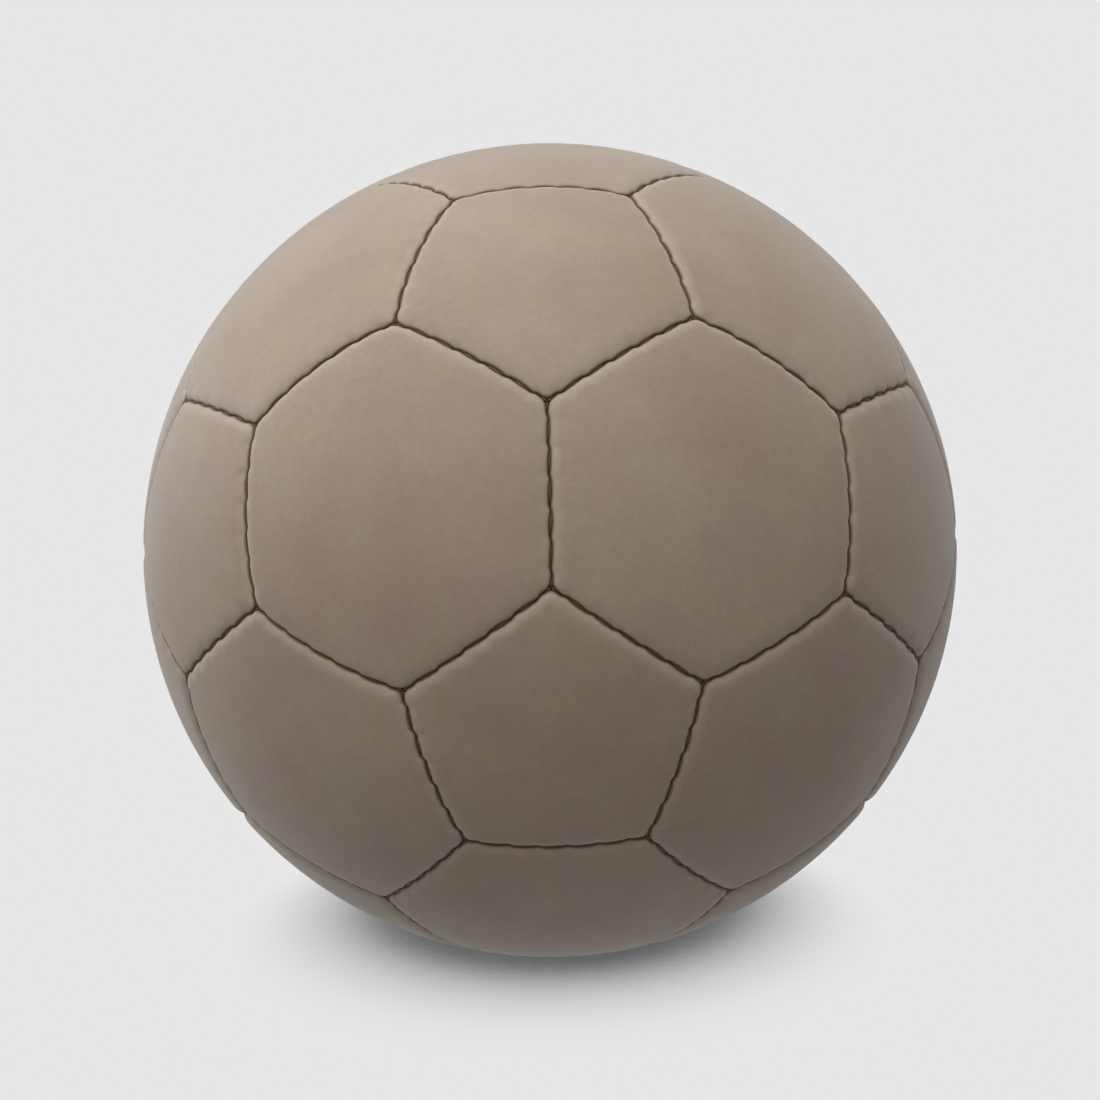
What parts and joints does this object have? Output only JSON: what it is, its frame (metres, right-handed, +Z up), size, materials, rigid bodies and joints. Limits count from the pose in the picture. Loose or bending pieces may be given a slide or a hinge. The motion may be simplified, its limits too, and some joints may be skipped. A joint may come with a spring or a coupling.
{
  "type": "hand-stitched panel ball",
  "caption": "Air-filled round ball sewn from leather pentagons and hexagons, with a rubber bladder and a flush needle valve.",
  "frame": {"origin": "centre of the ball", "axes": "+Z up through the middle of a hexagon panel, a threefold axis of the panel pattern; -Y is the front, with a seam between two hexagons upright on it; the valve faces +Y and up"},
  "size_m": [0.1876, 0.1878, 0.1878],
  "materials": {
    "cover_leather": "matt, finely grained synthetic leather",
    "seam_thread": "flat waxed polyester thread",
    "woven_lining": "plain woven polyester and cotton, laminated",
    "bladder_rubber": "butyl rubber, satin",
    "valve_rubber": "moulded rubber, satin"
  },
  "bodies": {
    "root": {"bladder": "bladder_rubber", "hexagon_linings": "woven_lining", "hexagon_panel_01": "cover_leather", "hexagon_panel_02": "cover_leather", "hexagon_panel_03": "cover_leather", "hexagon_panel_04": "cover_leather", "hexagon_panel_05": "cover_leather", "hexagon_panel_06": "cover_leather", "hexagon_panel_07": "cover_leather", "hexagon_panel_08": "cover_leather", "hexagon_panel_09": "cover_leather", "hexagon_panel_10": "cover_leather", "hexagon_panel_11": "cover_leather", "hexagon_panel_12": "cover_leather", "hexagon_panel_13": "cover_leather", "hexagon_panel_14": "cover_leather", "hexagon_panel_15": "cover_leather", "hexagon_panel_16": "cover_leather", "hexagon_panel_17": "cover_leather", "hexagon_panel_18": "cover_leather", "hexagon_panel_19": "cover_leather", "hexagon_seam_threads": "seam_thread", "pentagon_linings": "woven_lining", "pentagon_panel_01": "cover_leather", "pentagon_panel_02": "cover_leather", "pentagon_panel_03": "cover_leather", "pentagon_panel_04": "cover_leather", "pentagon_panel_05": "cover_leather", "pentagon_panel_06": "cover_leather", "pentagon_panel_07": "cover_leather", "pentagon_panel_08": "cover_leather", "pentagon_panel_09": "cover_leather", "pentagon_panel_10": "cover_leather", "pentagon_panel_11": "cover_leather", "pentagon_panel_12": "cover_leather", "pentagon_seam_threads": "seam_thread", "valve_body": "valve_rubber", "valve_hexagon_panel": "cover_leather", "valve_plug": "valve_rubber"}
  },
  "joints": []
}
